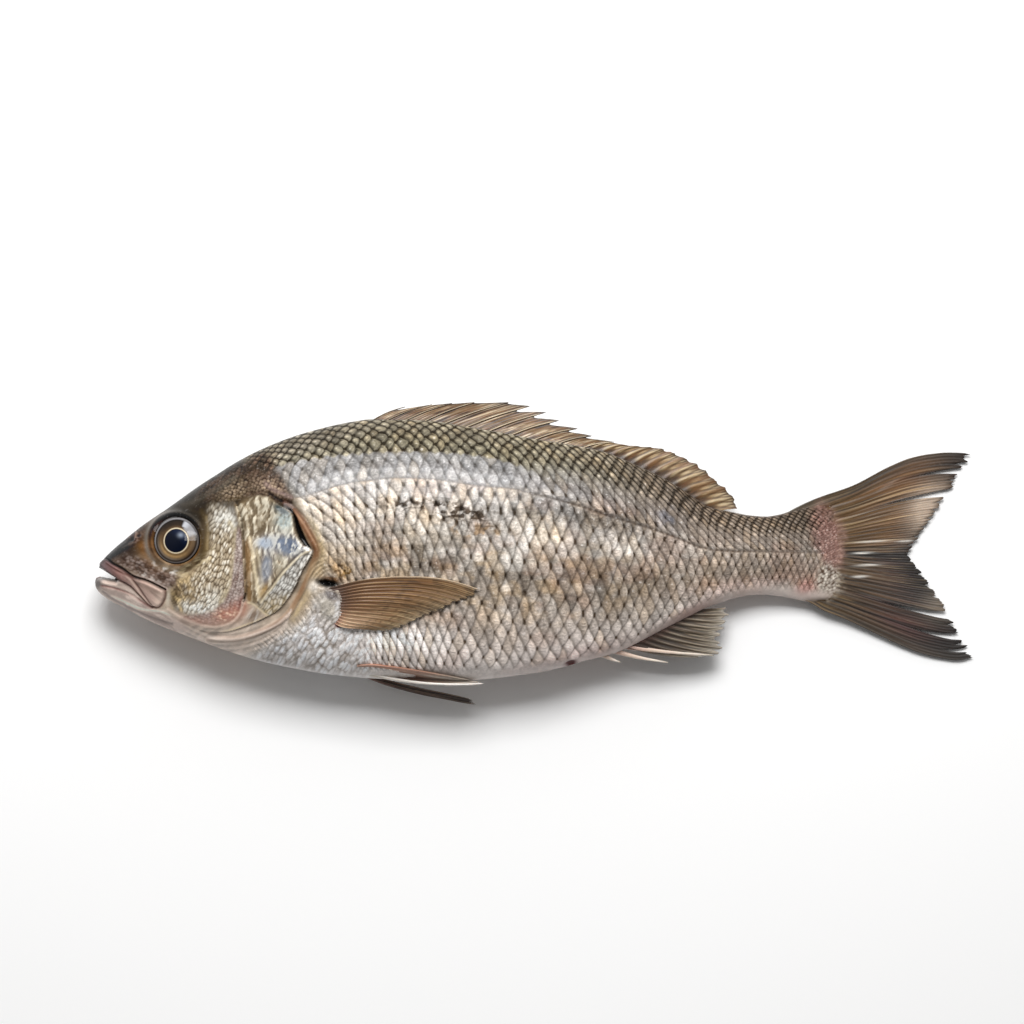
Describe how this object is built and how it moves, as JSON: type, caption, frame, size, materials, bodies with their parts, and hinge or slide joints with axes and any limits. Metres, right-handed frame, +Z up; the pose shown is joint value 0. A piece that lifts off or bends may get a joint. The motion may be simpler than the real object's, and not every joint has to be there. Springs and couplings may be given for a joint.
{
  "type": "whole raw fish",
  "caption": "Whole raw sea bream kind of fish, lying on its side, with scaled silvery flanks, open mouth, gill covers, spiny back fin and forked tail.",
  "frame": {"origin": "middle of the bounding box at the surface the fish lies on", "axes": "+X from snout to tail, +Y towards the back of the fish, +Z up from the surface, out of the flank that shows"},
  "size_m": [0.3332, 0.1158, 0.0426],
  "materials": {
    "skin": "wet scaled skin, silvery grey-brown, darker on the back and paler on the belly",
    "fin": "thin wet fin web between horny rays, amber brown and partly see-through",
    "eye": "wet glossy eye, golden brown ring around a black pupil",
    "mouth": "wet smooth skin of lips and gill folds, pinkish beige to orange brown"
  },
  "bodies": {
    "root": {"fish": "skin"}
  },
  "joints": []
}
